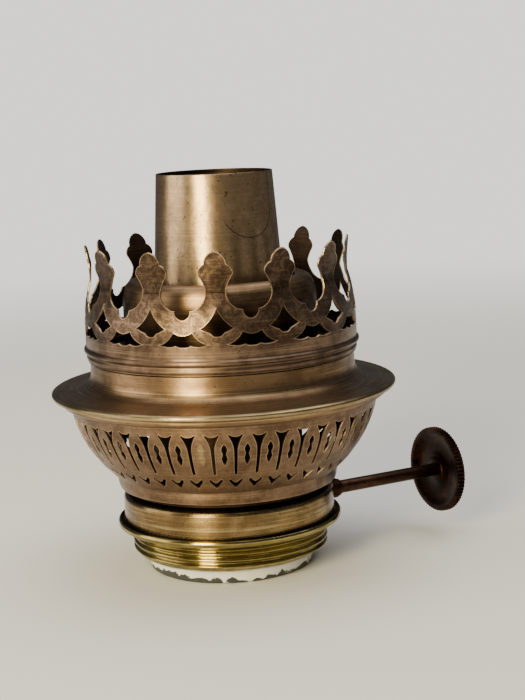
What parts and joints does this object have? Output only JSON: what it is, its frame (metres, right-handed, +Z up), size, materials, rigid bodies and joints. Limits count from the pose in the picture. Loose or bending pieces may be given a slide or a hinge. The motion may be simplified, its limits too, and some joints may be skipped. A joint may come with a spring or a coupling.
{
  "type": "round-wick oil lamp burner",
  "caption": "Brass lamp burner with a threaded collar, a wick winder with knurled thumbwheel, a pierced air basket and a coronet chimney gallery that lifts off.",
  "frame": {"origin": "middle of the burner's lower end, on the axis of the wick tube, in the plane of the foot ring", "axes": "+Z up along the wick tube, +X along the winder spindle towards the thumbwheel"},
  "size_m": [0.084, 0.0696, 0.0799],
  "materials": {
    "patina_brass": "aged, copper brown, brushed",
    "bright_brass": "worn yellow, glossy",
    "bronzed_brass": "dark, dull",
    "foot_coating": "flaking white coat on dark metal",
    "wick_cotton": "woven"
  },
  "bodies": {
    "burner": {"base_collar": "bright_brass", "tube_foot": "foot_coating", "raiser_housing": "patina_brass", "spindle_bush": "patina_brass", "outer_wick_tube": "patina_brass", "inner_air_tube": "patina_brass", "air_tube_floor": "patina_brass", "air_duct": "patina_brass", "bearing_bracket": "patina_brass"},
    "winder": {"winder_spindle": "bronzed_brass", "wick_wheel_inner": "bright_brass", "wick_wheel_outer": "bright_brass", "spindle_stop_collar": "bronzed_brass", "thumbwheel": "bronzed_brass", "spindle_rivet_head": "bronzed_brass"},
    "wick": {"wick": "wick_cotton"},
    "gallery": {"air_basket": "patina_brass", "gallery_flange": "patina_brass", "crown_gallery": "patina_brass", "draught_cap": "patina_brass", "chimney_seat": "patina_brass", "basket_seat_ring": "patina_brass"}
  },
  "joints": [
    {"name": "winder_spin", "type": "hinge", "parent": "burner", "child": "winder", "pos_m": [0, -0.0075, 0.0133], "axis": [-1, 0, 0], "range_deg": [0, 140]},
    {"name": "wick_rise", "type": "slide", "parent": "burner", "child": "wick", "axis": [0, 0, 1], "range_m": [0, 0.011]},
    {"name": "gallery_lift", "type": "slide", "parent": "burner", "child": "gallery", "axis": [0, 0, 1], "range_m": [0, 0.066]}
  ],
  "couplings": [
    {"joint": "wick_rise", "follows": "winder_spin", "m_per_rad": 0.0045}
  ]
}
